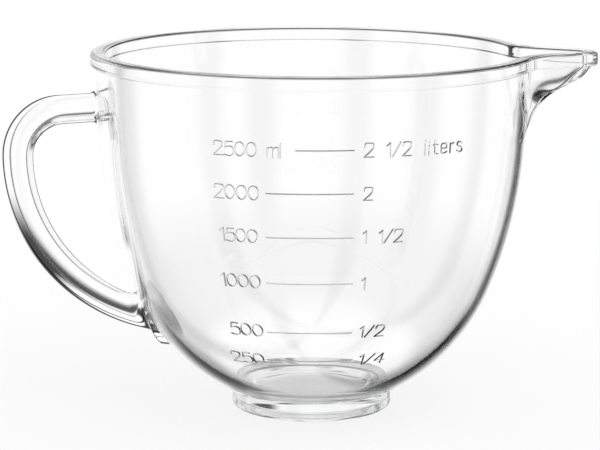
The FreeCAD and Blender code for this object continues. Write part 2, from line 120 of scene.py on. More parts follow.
def spout_outline(ring, middle, tip, root, flank):
    """Half a level outline of the spouted wall for columns of sizes.

    The root's centre lies root outside the ring and is hypot(tip + root, flank)
    from the tip's centre. Tip: middle + tip (cos a, sin a) up to the flank's
    direction. Flank: straight. Root: its centre - root (cos a, sin a) up to the
    bearing. Ring: ring (cos a, sin a) from the bearing to the back.
    """
    ring, middle, tip, root, flank = (
        np.atleast_1d(np.asarray(v, float))[:, None] for v in (ring, middle, tip, root, flank))
    gap = np.hypot(tip + root, flank)
    reach = ring + root
    bearing = np.arccos((reach**2 + middle**2 - gap**2) / (2 * reach * middle))
    hollow_x, hollow_y = reach * np.cos(bearing), reach * np.sin(bearing)
    facing = np.arctan2(hollow_y, hollow_x - middle) - np.arctan2(flank, tip + root)
    a = facing * shares("tip")
    pieces = [(middle + tip * np.cos(a), tip * np.sin(a))]
    t = shares("flank")
    nose = (middle + tip * np.cos(facing), tip * np.sin(facing))
    straight = (hollow_x - root * np.cos(facing), hollow_y - root * np.sin(facing))
    pieces.append(tuple(n + (s - n) * t for n, s in zip(nose, straight)))
    a = facing + (bearing - facing) * shares("root")
    pieces.append((hollow_x - root * np.cos(a), hollow_y - root * np.sin(a)))
    a = bearing + (SECTOR - bearing) * shares("near")
    pieces.append((ring * np.cos(a), ring * np.sin(a)))
    a = SECTOR + (math.pi - SECTOR) * shares("back", True) + 0 * ring
    pieces.append((ring * np.cos(a), ring * np.sin(a)))
    return np.stack([np.concatenate(axis, axis=1) for axis in zip(*pieces)], axis=-1)


# %% Outlines between the spout's root and the lip
SPOUT_DEPTH = 33.6
SPOUT_ROOT = LIP - SPOUT_DEPTH
SPOUT_REACH = 29.0
TIP, ROOT, FLANK = 8.0, 24.0, 18.0
# rows: shares of the spout's height, reach, tip, root and flank, up to the lip's
SPOUT_ROWS = np.array([
    (0.21, 0.070, 4.25, 1.42, 0.17),
    (0.43, 0.180, 2.75, 1.17, 0.28),
    (0.63, 0.430, 1.75, 1.05, 0.47),
    (0.82, 0.830, 1.20, 1.00, 0.80),
    (1.00, 1.000, 1.00, 1.00, 1.00),
])


def outline_stack(inset):
    """The six level outlines of the spout in shares of the ring's radius.

    Inwards the keel moves level by inset * hypot(1, slant), so that the glass is
    as thick under the sloping keel as beside it.
    """
    rise, reach, tip, root, flank = SPOUT_ROWS.T
    z = SPOUT_ROOT + rise * SPOUT_DEPTH
    slant = np.gradient(np.r_[0.0, reach], np.r_[0.0, rise])[1:] * SPOUT_REACH / SPOUT_DEPTH
    slant[-1] = 0.0
    extra = inset * (np.hypot(1.0, slant) - 1.0)
    middle = wall_radius(z) + reach * SPOUT_REACH - tip * TIP - extra
    ring = wall_radius(z, inset)
    rows = spout_outline(ring, middle, tip * TIP - inset, root * ROOT + inset, flank * FLANK)
    return np.r_[0.0, rise], np.concatenate([round_outline()[None], rows / ring[:, None, None]])


def spouted(z, inset):
    """Half outlines at heights z: a cubic through the stack, level at its root."""
    rise, stack = outline_stack(inset)
    slope = np.gradient(stack, rise, axis=0)
    slope[0] = 0.0
    at = np.clip((np.asarray(z) - SPOUT_ROOT) / SPOUT_DEPTH, 0.0, 1.0)
    k = np.clip(np.searchsorted(rise, at, side="right") - 1, 0, len(rise) - 2)
    span = (rise[k + 1] - rise[k])[:, None, None]
    t = ((at - rise[k]) / (rise[k + 1] - rise[k]))[:, None, None]
    low, high = stack[k], stack[k + 1]
    blend = (2 * t**3 - 3 * t**2 + 1) * low + (3 * t**2 - 2 * t**3) * high
    blend += (t**3 - 2 * t**2 + t) * span * slope[k] + (t**3 - t**2) * span * slope[k + 1]
    return blend * wall_radius(z, inset)[:, None, None]


def turned(rows):
    """Half outlines of plain turned rows (radius, height)."""
    return rows[:, 0, None, None] * round_outline()


def rolled(offsets):
    """Half outlines of the lip moved out by an offset from the wall's outside."""
    d = np.asarray(offsets)
    middle = wall_radius(LIP) + SPOUT_REACH - TIP + 0 * d
    ring = wall_radius(LIP) + d / math.cos(DRAFT)
    return spout_outline(ring, middle, TIP + d, ROOT - d, FLANK + 0 * d)


print("points round half an outline:", len(round_outline()))

# %% [markdown]
# ## The profile from the foot round to the floor
# The whole skin of the bowl is one strip: under the foot, up the outside, over
# the rolled rim and down the inside to the middle of the floor. Where two
# straight parts meet, the strip turns through a small arc, because fire polished
# glass has no true corner. Extra rows beside each arc keep the flat parts flat.

# %% Pieces of a profile
NUDGE = 0.2  # distance in millimetres of the extra row beside each arc


def arc_rows(centre, radius, start, end, count):
    """Rows centre + radius (cos a, sin a), a running evenly from start to end."""
    a = np.linspace(start, end, count)
    return np.stack([centre[0] + radius * np.cos(a), centre[1] + radius * np.sin(a)], axis=1)


def eased_line(start, end, count):
    """Even rows on a straight line, with one more row close to each end."""
    start, end = np.array(start, float), np.array(end, float)
    near = min(NUDGE / np.linalg.norm(end - start), 0.2)
    t = np.unique(np.r_[0.0, near, np.linspace(0.0, 1.0, count)[1:-1], 1.0 - near, 1.0])
    return start + t[:, None] * (end - start)


def soft_path(corners, radii, steps):
    """A path through corners, where corner k is rounded to radius radii[k]."""
    corners = np.array(corners, float)
    parts, start = [], corners[0]
    for before, corner, after, radius in zip(corners[:-2], corners[1:-1], corners[2:], radii):
        into = (corner - before) / np.linalg.norm(corner - before)
        out = (after - corner) / np.linalg.norm(after - corner)
        turn = math.atan2(into[0] * out[1] - into[1] * out[0], into @ out)
        cut = abs(radius * math.tan(turn / 2))
        side = math.copysign(1.0, turn)
        first = corner - cut * into
        centre = first + side * radius * np.array([-into[1], into[0]])
        begin = math.atan2(first[1] - centre[1], first[0] - centre[0])
        parts += [eased_line(start, first, 3), arc_rows(centre, radius, begin, begin + turn, steps)]
        start = corner + cut * out
    parts.append(eased_line(start, corners[-1], 3))
    rows = np.concatenate(parts)
    keep = np.r_[True, np.linalg.norm(np.diff(rows, axis=0), axis=1) > 1e-6]
    return rows[keep]


# %% Foot, side, rim and inside as rows
FLOOR, FLOOR_BLEND = 8.0, 40.0
RECESS, RECESS_SLOPE, RING_WIDTH = 3.4, math.radians(35.0), 6.0
FOOT_ROUNDINGS = (1.5, 0.7, 2.2)
RIM_OUT = 2.48
RIM_ROUNDINGS = (1.0, 1.9, 1.9)
hollow = FOOT_RADIUS - RING_WIDTH
roof = hollow - RECESS * math.tan(RECESS_SLOPE)
foot_rows = soft_path(
    [(0, RECESS), (roof, RECESS), (hollow, 0), (FOOT_RADIUS, 0), (FOOT_RADIUS, FOOT_TOP)],
    FOOT_ROUNDINGS, 8)
foot_angle = math.atan2(FOOT_TOP - BASE_Z, FOOT_RADIUS)
outer_low = arc_rows((0, BASE_Z), BASE_ARC, foot_angle, -TURN, 32)
outer_end = -math.asin((SIDE_Z - SPOUT_ROOT) / SIDE_ARC)
outer_side = arc_rows((SIDE_X, SIDE_Z), SIDE_ARC, -TURN, outer_end, 34)
spout_z = np.linspace(SPOUT_ROOT, LIP, 27)
rim_rows = soft_path(
    [(0, LIP), (RIM_OUT, LIP), (RIM_OUT, RIM_TOP), (-THICKNESS, RIM_TOP), (-THICKNESS, LIP)],
    RIM_ROUNDINGS, 10)

base_in = BASE_ARC - THICKNESS
blend_z = FLOOR + FLOOR_BLEND
blend_x = math.sqrt((base_in - FLOOR_BLEND) ** 2 - (blend_z - BASE_Z) ** 2)
meet = math.atan2(blend_z - BASE_Z, blend_x)
inner_end = -math.asin((SIDE_Z - SPOUT_ROOT) / (SIDE_ARC - THICKNESS))
inner_side = arc_rows((SIDE_X, SIDE_Z), SIDE_ARC - THICKNESS, inner_end, -TURN, 34)
inner_low = arc_rows((0, BASE_Z), base_in, -TURN, meet, 26)
inner_blend = arc_rows((blend_x, blend_z), FLOOR_BLEND, meet, -math.pi / 2, 14)
floor_rows = eased_line((blend_x, FLOOR), (0, FLOOR), 4)
print("rows: foot %d, rim %d" % (len(foot_rows), len(rim_rows)))

# %% [markdown]
# ## One closed skin
# Every row of the profile is now a closed outline with the same number of points,
# so the skin is a plain grid: rows by points. Quads join neighbours, and the first
# and last rows shrink to one point each, which closes the glass at both middles.


# %% Make the skin
def closed_skin(name, levels, heights):
    """Mesh of a strip of closed outlines whose first and last rows are poles.

    levels is rows x half outline x 2. Each half is mirrored over the X axis, and
    row k lies at heights[k]. Quads join the rows, triangles close the poles.
    """
    full = np.concatenate([levels, levels[:, -2:0:-1] * (1, -1)], axis=1)
    rows, around = full.shape[:2]
    up = np.repeat(heights[:, None, None], around, axis=1)
    points = np.concatenate([full, up], axis=2)
    ring_points = points[1:-1].reshape(-1, 3)
    poles = points[[0, -1], 0]
    poles[:, 1] = 0.0
    index = np.arange((rows - 2) * around).reshape(rows - 2, around)
    beside = np.roll(index, -1, axis=1)
    quads = np.stack([index[:-1], beside[:-1], beside[1:], index[1:]], axis=-1).reshape(-1, 4)
    low, high = index.size, index.size + 1
    start = np.stack([np.full(around, low), beside[0], index[0]], axis=1)
    end = np.stack([index[-1], beside[-1], np.full(around, high)], axis=1)
    faces = quads.tolist() + start.tolist() + end.tolist()
    return solid(name, np.concatenate([ring_points, poles]), faces)


def solid(name, points, faces):
    """An object at the origin from points in millimetres and lists of faces."""
    mesh = bpy.data.meshes.new(name)
    mesh.from_pydata((points * MM).tolist(), [], faces)
    mesh.update()
    piece = bpy.data.objects.new(name, mesh)
    bpy.context.scene.collection.objects.link(piece)
    return piece


turned_out = np.concatenate([foot_rows, outer_low[1:], outer_side[1:-1]])
turned_in = np.concatenate([inner_side[1:], inner_low[1:], inner_blend[1:], floor_rows[1:]])
levels = np.concatenate([
    turned(turned_out), spouted(spout_z, 0.0), rolled(rim_rows[1:-1, 0]),
    spouted(spout_z[::-1], THICKNESS), turned(turned_in)])
heights = np.concatenate([
    turned_out[:, 1], spout_z, rim_rows[1:-1, 1], spout_z[::-1], turned_in[:, 1]])
bowl = closed_skin("bowl_skin", levels, heights)
print("bowl skin: %d rows, %d faces" % (len(heights), len(bowl.data.polygons)))

# %% [markdown]
# ## The loop handle
# The handle is a solid bar with a round back and a flat side for the fingers,
# carried along a short arm, a tight bend and a long curve. Where it meets the
# wall, hot glass flows into a soft hollow, so the section swells as it comes
# near: by r - sqrt(r^2 - (r - d)^2) at a distance d under the fillet's radius r.

# %% Line of the handle
ARM_BELOW_RIM, HANDLE_REACH = 26.1, 37.0
ARM_HEIGHT = RIM_TOP - ARM_BELOW_RIM
REACH = float(wall_radius(LIP)) + HANDLE_REACH
BEND = 23.5
DROOP = math.radians(4.0)
LANDING = 43.4
ROOT_DEPTH = 0.8 * THICKNESS  # how far the arm starts inside the wall
ARM_ROOT, GRIP_ROOT, GRIP_INSIDE = 8.0, 22.0, 26.0  # stretches with close rows, in millimetres
bend_height = ARM_HEIGHT - BEND * math.cos(DROOP)
landing_out = REACH - float(wall_radius(LANDING))
landing_down = bend_height - LANDING
grip_arc = (landing_out**2 + landing_down**2) / (2 * landing_out)
landing = math.atan2(landing_down, grip_arc - landing_out)


def handle_line():
    """Middle line (x, z) with the angle of the outward direction at each step."""
    start = np.array([BEND - REACH - BEND * math.sin(DROOP), ARM_HEIGHT])
    arm_root = float(wall_radius(ARM_HEIGHT)) - ROOT_DEPTH
    along = (-arm_root - start[0]) / math.cos(DROOP)
    near = np.linspace(along, along - ARM_ROOT, 24)
    away = np.linspace(along - ARM_ROOT, 0.0, 9)[1:-1]
    step = np.r_[near, away][:, None]
    arm = start + step * np.array([math.cos(DROOP), math.sin(DROOP)])
    arm_facing = np.full(len(arm), math.pi / 2 + DROOP)
    upper_facing = np.linspace(math.pi / 2 + DROOP, math.pi, 28)
    upper = np.array([BEND - REACH, bend_height]) + BEND * np.stack(
        [np.cos(upper_facing), np.sin(upper_facing)], axis=1)
    fine = landing - GRIP_ROOT / grip_arc
    last = landing + GRIP_INSIDE / grip_arc
    lower_facing = math.pi + np.r_[np.linspace(0, fine, 26)[1:], np.linspace(fine, last, 62)[1:]]
    lower = np.array([grip_arc - REACH, bend_height]) + grip_arc * np.stack(
        [np.cos(lower_facing), np.sin(lower_facing)], axis=1)
    facing = np.concatenate([arm_facing, upper_facing, lower_facing])
    return np.concatenate([arm, upper, lower]), facing


print("grip arc radius %.1f mm, reach %.1f mm from the axis" % (grip_arc, REACH))

# %% Section of the handle
BACK_RADIUS, CORNER_RADIUS, HALF_DEPTH = 10.5, 5.0, 7.9


def handle_section(back=BACK_RADIUS, corner=CORNER_RADIUS, half=HALF_DEPTH):
    """The D-section (across, outwards) with its outward directions.

    A round back of radius back, a flat finger side, and a corner arc between
    them that is tangent to both. Left is the mirror image of right.
    """
    back_drop = back - half
    corner_drop = half - corner
    corner_out = math.sqrt((back - corner) ** 2 - (corner_drop - back_drop) ** 2)
    tangent = math.atan2(back_drop - corner_drop, corner_out)
    crown = np.linspace(math.pi / 2, tangent, 15)
    bend = np.linspace(tangent, -math.pi / 2, 10)[1:]
    flat = np.linspace(corner_out, 0.0, 4)[1:]
    facing = np.r_[crown, bend, np.full(len(flat), -math.pi / 2)]
    out = np.stack([np.cos(facing), np.sin(facing)], axis=1)
    shape = np.concatenate([
        np.array([0, -back_drop]) + back * out[: len(crown)],
        np.array([corner_out, -corner_drop]) + corner * out[len(crown):len(crown) + len(bend)],
        np.stack([flat, np.full(len(flat), -half)], axis=1)])
    mirror = np.array([-1, 1])
    return (np.concatenate([shape, shape[-2:0:-1] * mirror]),
            np.concatenate([out, out[-2:0:-1] * mirror]))


def wall_distance(points):
    """Distance of points from the wall's outside, positive in the open."""
    r, z = np.hypot(points[..., 0], points[..., 1]), points[..., 2]
    cone = (r - wall_radius(np.maximum(z, SIDE_Z))) * math.cos(DRAFT)
    cone = cone - (np.maximum(z, SIDE_Z) - z) * math.sin(DRAFT)
    long_arc = np.hypot(r - SIDE_X, z - SIDE_Z) - SIDE_ARC
    base = np.hypot(r, z - BASE_Z) - BASE_ARC
    lean = np.arctan2(SIDE_Z - z, r - SIDE_X)
    return np.where(lean < DRAFT, cone, np.where(lean < TURN, long_arc, base))


# %% Carry the section along the line
ARM_FLARE, GRIP_FLARE = 3.0, 6.0  # fillet radii at the two roots
CORE_LOW = 14.0


def swept_bar(name):
    """Section points placed at line + across * Y + outwards * facing, then flared."""
    line, facing = handle_line()
    shape, out = handle_section()
    side = np.stack([np.cos(facing), np.zeros_like(facing), np.sin(facing)], axis=1)[:, None]
    centre = np.stack([line[:, 0], np.zeros(len(line)), line[:, 1]], axis=1)[:, None]
    level = np.array([0.0, 1.0, 0.0])
    place = centre + shape[None, :, :1] * level + shape[None, :, 1:] * side
    push = out[None, :, :1] * level + out[None, :, 1:] * side
    fillet = np.where(line[:, 1] > bend_height, ARM_FLARE, GRIP_FLARE)[:, None]
    short = np.clip(fillet - wall_distance(place), 0.0, fillet)
    place = place + push * (fillet - np.sqrt(fillet**2 - short**2))[..., None]
    rows, around = place.shape[:2]
    index = np.arange(rows * around).reshape(rows, around)
    beside = np.roll(index, -1, axis=1)
    quads = np.stack([index[:-1], index[1:], beside[1:], beside[:-1]], axis=-1).reshape(-1, 4)
    ends = [index[0].tolist(), index[-1, ::-1].tolist()]
    return solid(name, place.reshape(-1, 3), quads.tolist() + ends)


def turned_core(name, inset, low, high):
    """A closed turned solid with the wall's form, an inset inside its outside."""
    z = np.linspace(low, high, 60)
    rows = np.stack([wall_radius(z, inset), z], axis=1)
    rows = np.concatenate([[(0, low)], rows, [(0, high)]])
    return closed_skin(name, turned(rows), rows[:, 1])


handle = swept_bar("handle_bar")
core = turned_core("wall_middle", THICKNESS / 2, CORE_LOW, LIP)
print("handle bar: %d faces" % len(handle.data.polygons))

# %% [markdown]
# ## Joining the glass
# Glass is one body, and a surface left inside it would show as a ghost. So the
# pieces are joined by Boolean modifiers with the solver for closed meshes, and
# the result is kept as one mesh. The handle is first cut off at the middle of the
# wall, which keeps its ends from showing through on the inside.


# %% Join closed meshes
def combine(piece, operation, tool):
    """Apply one Boolean to a piece, drop the tool, and say what came out."""
    step = piece.modifiers.new(operation.lower(), "BOOLEAN")
    step.operation = operation
    step.solver = "MANIFOLD"
    step.object = tool
    bpy.context.view_layer.update()
    graph = bpy.context.evaluated_depsgraph_get()
    mesh = bpy.data.meshes.new_from_object(piece.evaluated_get(graph))
    piece.modifiers.clear()
    old = piece.data
    piece.data = mesh
    bpy.data.meshes.remove(old)
    bpy.data.objects.remove(tool)
    print("%s %s: %d faces" % (piece.name, operation.lower(), len(mesh.polygons)))


combine(handle, "DIFFERENCE", core)
combine(bowl, "UNION", handle)

# %% [markdown]
# ## Raised volume marks
# Lines, numbers and units stand about half a millimetre proud of the wall, drawn
# with one round-ended cutter, so each is a ridge of the same width. A stroke is a
# smooth curve laid on the wall: the distance along it round the bowl becomes an
# angle, and its height is measured up the slope of the glass. Numbers are plain
# litre and millilitre graduations. Above them the glass is bare.

# %% Strokes of each sign, in shares of its height
# Each stroke is a control line of a smooth curve. Strokes that touch are kept in
# different layers (their order in the list), so that no ridge crosses its own kind.
SIGNS = {
    "1": [[(0.0, 0.80), (0.24, 1.0)], [(0.24, 1.0), (0.24, 0.0)]],
    "2": [[(0.03, 0.74), (0.05, 1.02), (0.38, 1.0), (0.72, 0.98), (0.66, 0.60), (0.40, 0.34),
           (0.02, 0.0)],
          [(0.02, 0.0), (0.70, 0.0)]],
    "4": [[(0.50, 1.0), (0.0, 0.30)], [(0.0, 0.30), (0.72, 0.30)], [(0.50, 1.0), (0.50, 0.0)]],
    "5": [[(0.62, 1.0), (0.14, 1.0)], [(0.14, 1.0), (0.06, 0.55)],
          [(0.06, 0.55), (0.32, 0.70), (0.72, 0.62), (0.72, 0.04), (0.34, -0.04), (0.0, 0.06)]],
    "/": [[(0.0, 0.0), (0.62, 1.02)]],
    "m": [[(0.0, 0.0), (0.0, 0.68)],
          [(0.0, 0.44), (0.06, 0.70), (0.40, 0.74), (0.40, 0.34), (0.40, 0.0)],
          [(0.40, 0.44), (0.46, 0.70), (0.80, 0.74), (0.80, 0.34), (0.80, 0.0)]],
    "l": [[(0.0, 0.0), (0.0, 1.0)]],
    "i": [[(0.0, 0.0), (0.0, 0.64)], [(0.0, 0.90), (0.0, 0.93)]],
    "t": [[(0.16, 0.92), (0.16, 0.30), (0.16, 0.0), (0.40, 0.0)], [(0.0, 0.66), (0.38, 0.66)]],
    "e": [[(0.04, 0.35), (0.50, 0.35)],
          [(0.50, 0.35), (0.50, 0.70), (0.26, 0.70), (0.0, 0.68), (0.0, 0.34), (0.0, 0.0),
           (0.28, -0.02), (0.48, 0.08)]],
    "r": [[(0.0, 0.0), (0.0, 0.66)], [(0.0, 0.40), (0.06, 0.68), (0.34, 0.66)]],
    "s": [[(0.42, 0.60), (0.32, 0.72), (0.02, 0.70), (0.0, 0.40), (0.46, 0.34), (0.48, -0.02),
           (0.14, -0.04), (0.0, 0.08)]],
}
WIDTHS = {"1": 0.28, "2": 0.70, "4": 0.72, "5": 0.68, "0": 0.74, "/": 0.62, "m": 0.80, "l": 0.02,
          "i": 0.02, "t": 0.40, "e": 0.50, "r": 0.34, "s": 0.46}
STROKE_STEP = 0.1  # length of one step along a stroke
print("signs drawn:", " ".join(sorted(WIDTHS)))


def smooth_stroke(control, spacing=STROKE_STEP):
    """Quadratic B-spline: parabolas between the middles of the control legs."""
    p = np.array(control, float)
    if len(p) == 2:
        count = max(2, int(np.linalg.norm(p[1] - p[0]) / spacing) + 1)
        return p[0] + np.linspace(0, 1, count)[:, None] * (p[1] - p[0])
    middle = (p[:-1] + p[1:]) / 2
    start = np.concatenate([p[:1], middle[1:-1]])
    end = np.concatenate([middle[1:-1], p[-1:]])
    bend = p[1:-1]
    count = max(3, int(np.linalg.norm(np.diff(p, axis=0), axis=1).sum() / len(bend) / spacing) + 1)
    t = np.linspace(0, 1, count, endpoint=False)[None, :, None]
    curve = (1 - t) ** 2 * start[:, None] + 2 * t * (1 - t) * bend[:, None] + t**2 * end[:, None]
    return np.concatenate([curve.reshape(-1, 2), p[-1:]])


def round_zero(width, count=22):
    """A closed oval: (width / 2) (1 + cos a) across and (1 + sin a) / 2 up."""
    a = np.linspace(0, 2 * math.pi, count, endpoint=False)
    return np.stack([width / 2 * (1 + np.cos(a)), (1 + np.sin(a)) / 2], axis=1)


# %% Lay a curve on the wall and raise a ridge along it
RIDGE_HALF = 0.46
RIDGE_RISE = 0.52
RIDGE_SUNK = 0.1
RIDGE_ROUND = 12
RIDGE_POINT = 2.2
CAP_ANGLES = np.radians([4.0, 30.0, 58.0])


def on_wall(curve, z_middle):
    """Points (round, up) in millimetres on the wall's front, and the wall's normals.

    Angle = round / radius at the sign's middle. Height = middle + up * cos(lean).
    """
    step = 0.5
    lean = math.atan2(float(wall_radius(z_middle + step) - wall_radius(z_middle - step)), 2 * step)
    angle = curve[:, 0] / float(wall_radius(z_middle))
    z = z_middle + curve[:, 1] * math.cos(lean)
    r = wall_radius(z)
    slope = (wall_radius(z + step) - wall_radius(z - step)) / (2 * step)
    place = np.stack([r * np.sin(angle), -r * np.cos(angle), z], axis=1)
    normal = np.stack([np.sin(angle), -np.cos(angle), -slope], axis=1)
    return place, normal / np.linalg.norm(normal, axis=1, keepdims=True)


def ridge(curve, z_middle, closed=False):
    """Rows of a tube along a curve on the wall, rounded off at open ends.

    Section: half cos a across and rise sign(sin a) |sin a|^point upwards, sunk a
    little into the wall. The power gives it steep sides, which read as dark lines.
    """
    place, normal = on_wall(curve, z_middle)
    if closed:
        along = np.roll(place, -1, axis=0) - np.roll(place, 1, axis=0)
        swell = np.ones(len(place))
    else:
        along = np.gradient(place, axis=0)
    along = along / np.linalg.norm(along, axis=1, keepdims=True)
    if not closed:
        back = RIDGE_HALF * np.cos(CAP_ANGLES)[:, None]
        ahead = place[-1] + back[::-1] * along[-1]
        place = np.concatenate([place[0] - back * along[0], place, ahead])
        swell = np.r_[np.sin(CAP_ANGLES), np.ones(len(along)), np.sin(CAP_ANGLES)[::-1]]
        ends = ((len(CAP_ANGLES), len(CAP_ANGLES)), (0, 0))
        normal, along = np.pad(normal, ends, mode="edge"), np.pad(along, ends, mode="edge")
    across = np.cross(along, normal)
    a = np.linspace(0, 2 * math.pi, RIDGE_ROUND, endpoint=False)[None, :, None]
    rise = (RIDGE_RISE + RIDGE_SUNK) * np.sign(np.sin(a)) * np.abs(np.sin(a)) ** RIDGE_POINT
    section = RIDGE_HALF * np.cos(a) * across[:, None] + rise * normal[:, None]
    return place[:, None] + swell[:, None, None] * section - RIDGE_SUNK * normal[:, None]


def tube_faces(rows, closed, first):
    """Quads of a tube whose points start at index first, with end caps if open."""
    index = first + np.arange(rows * RIDGE_ROUND).reshape(rows, RIDGE_ROUND)
    beside = np.roll(index, -1, axis=1)
    up = np.roll(index, -1, axis=0) if closed else index[1:]
    up_beside = np.roll(beside, -1, axis=0) if closed else beside[1:]
    here, here_beside = (index, beside) if closed else (index[:-1], beside[:-1])
    quads = np.stack([here, up, up_beside, here_beside], axis=-1).reshape(-1, 4).tolist()
    return quads if closed else quads + [index[0].tolist(), index[-1, ::-1].tolist()]


# %% Place every line and label
ADVANCE_GAP, WIDE_GAP = 0.14, 0.31  # room after a sign, in shares of its height
# text, left edge round the wall, height of the middle, height of a digit, and the gap
# where it isn't the usual one
LABELS = [
    ("2500", -44.0, 135.4, 6.0), ("ml", -19.6, 135.4, 6.0),
    ("2", 21.6, 135.4, 6.0), ("1/2", 31.8, 135.2, 6.0), ("liters", 50.0, 135.0, 6.0, WIDE_GAP),
    ("2000", -43.8, 116.6, 6.1), ("2", 21.6, 116.5, 5.6),
    ("1500", -41.0, 97.4, 5.9), ("1", 21.6, 97.3, 5.6), ("1/2", 28.8, 97.1, 5.8),
    ("1000", -40.8, 76.4, 6.1), ("1", 21.4, 75.8, 5.6),
    ("500", -37.2, 52.9, 6.2), ("1/2", 21.0, 52.5, 5.9),
    ("250", -37.2, 38.0, 6.4), ("1/4", 21.2, 37.9, 6.2),
]
# left and right end round the wall, and height, of each line
LINES = [(-7.4, 17.2, 135.4), (-20.1, 17.0, 116.6), (-20.1, 17.0, 97.1), (-19.9, 17.0, 76.0),
         (-19.7, 17.0, 52.2), (-19.7, 16.9, 37.6)]
LINE_POINTS = 24
LAYERS = max(len(strokes) for strokes in SIGNS.values())


def label_strokes(text, left, z_middle, height, gap=ADVANCE_GAP):
    """Each stroke of a label as (layer, curve in millimetres, middle, closed)."""
    found = []
    for sign in text:
        curves = [(round_zero(WIDTHS[sign]), True)] if sign == "0" else [
            (smooth_stroke(control), False) for control in SIGNS[sign]]
        for layer, (curve, closed) in enumerate(curves):
            found.append((layer, (curve - (0, 0.5)) * height + (left, 0), z_middle, closed))
        left += (WIDTHS[sign] + gap) * height
    return found


strokes = [stroke for label in LABELS for stroke in label_strokes(*label)]
for left, right, z in LINES:
    curve = np.stack([np.linspace(left, right, LINE_POINTS), np.zeros(LINE_POINTS)], axis=1)
    strokes.append((0, curve, z, False))
for layer in range(LAYERS):
    points, faces, first = [], [], 0
    for at, curve, z, closed in strokes:
        if at != layer:
            continue
        rows = ridge(curve, z, closed)
        faces += tube_faces(len(rows), closed, first)
        points.append(rows.reshape(-1, 3))
        first += rows.shape[0] * rows.shape[1]
    ridges = solid("ridges_%d" % layer, np.concatenate(points), faces)
    combine(bowl, "UNION", ridges)
print("strokes:", len(strokes))

# %% Finish the glass piece
CREASE = math.radians(26.0)
glass_piece = bowl
glass_piece.name = glass_piece.data.name = "glass_bowl_pressed"
glass_piece.data.shade_smooth()
glass_piece.data.set_sharp_from_angle(angle=CREASE)
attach(glass_piece, "root")
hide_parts("glass_bowl")
triangles = sum(len(face.vertices) - 2 for face in glass_piece.data.polygons)
print("glass piece: %d triangles" % triangles)

# %% [markdown]
# ## Pressed soda-lime glass
# Soda-lime glass bends light by an index of 1.52 and takes away a little of it on
# long ways through the body, which is why thick parts look greyer than thin
# ones. The surface itself takes no colour, so its base stays white, and the faint
# grey comes from the body alone. Pressing leaves the surface very slightly wavy.
# The foot's ring is the one place that rubs on the table, so it is finely scuffed.


# %% Helpers for materials
def linear(code, alpha=1.0):
    """Turn an sRGB hex colour such as 'c0ffee' into linear red, green, blue."""
    parts = [int(code[k:k + 2], 16) / 255 for k in (0, 2, 4)]
    return [v / 12.92 if v <= 0.04045 else ((v + 0.055) / 1.055) ** 2.4 for v in parts] + [alpha]


def node(tree, kind, settings=None, values=None, **links):
    """Add one node: settings are its own fields, values its sockets, links its inputs."""
    made = tree.nodes.new(kind)
    for key, value in (settings or {}).items():
        setattr(made, key, value)
    for key, value in (values or {}).items():
        made.inputs[key].default_value = value
    for key, source in links.items():
        key = int(key[1:]) if key[0] == "i" and key[1:].isdigit() else key.replace("_", " ")
        tree.links.new(source, made.inputs[key])
    return made


def bare_material(name):
    """A new material and its node tree, emptied."""
    made = bpy.data.materials.new(name)
    made.use_nodes = True
    made.node_tree.nodes.clear()
    return made, made.node_tree


# %% The glass
GLASS_IOR = 1.52
WAVES_PER_METRE = 38.0  # one swell in about 26 mm
WAVE_DEPTH = 0.025 * MM
SCUFFS_PER_METRE = 900.0  # one scuff in about 1.1 mm
SCUFF_HEIGHT, SCUFF_ROUGHNESS = 0.4 * MM, 0.5
glass, tree = bare_material("soda_lime_glass_pressed")
place = node(tree, "ShaderNodeTexCoord")
waves = node(tree, "ShaderNodeTexNoise",
             values={"Scale": WAVES_PER_METRE, "Detail": 1.5, "Roughness": 0.4},
             Vector=place.outputs["Object"])
swell = node(tree, "ShaderNodeBump", values={"Strength": 1.0, "Distance": WAVE_DEPTH},
             Height=waves.outputs["Fac"])
height = node(tree, "ShaderNodeSeparateXYZ", Vector=place.outputs["Object"])
scuffs = node(tree, "ShaderNodeTexNoise", values={"Scale": SCUFFS_PER_METRE, "Detail": 4.0},
              Vector=place.outputs["Object"])
scuff_zone = node(tree, "ShaderNodeMapRange", {"interpolation_type": "SMOOTHSTEP"},
                  {"From Min": SCUFF_HEIGHT, "From Max": 0.0, "To Min": 0.0, "To Max": SCUFF_ROUGHNESS},
                  Value=height.outputs["Z"])
scuffed = node(tree, "ShaderNodeMath", {"operation": "MULTIPLY"},
               i0=scuff_zone.outputs["Result"], i1=scuffs.outputs["Fac"])
body = node(tree, "ShaderNodeBsdfPrincipled",
            values={"Base Color": linear("ffffff"), "IOR": GLASS_IOR, "Transmission Weight": 1.0},
            Roughness=scuffed.outputs[0], Normal=swell.outputs["Normal"])
depth = node(tree, "ShaderNodeVolumeAbsorption",
             values={"Color": linear("e4e6e5"), "Density": 3.0})
node(tree, "ShaderNodeOutputMaterial", Surface=body.outputs[0], Volume=depth.outputs[0])
glass_piece.data.materials.clear()
glass_piece.data.materials.append(glass)
print("glass nodes:", len(tree.nodes))

# %% [markdown]
# ## The room round the glass
# A clear thing on white is lit from behind by a white room, and black boards just
# outside the picture draw its edges. The boards stand between the usual viewing
# directions, so every side view looks through white glass with dark outlines.

# %% Boards as a pattern of directions
BOARD_PERIOD = math.radians(90.0)
BOARD_MIDDLE = math.radians(63.0)
BOARD_INNER, BOARD_OUTER = math.radians(3.0), math.radians(12.0)
BOARD_TONE = 0.05


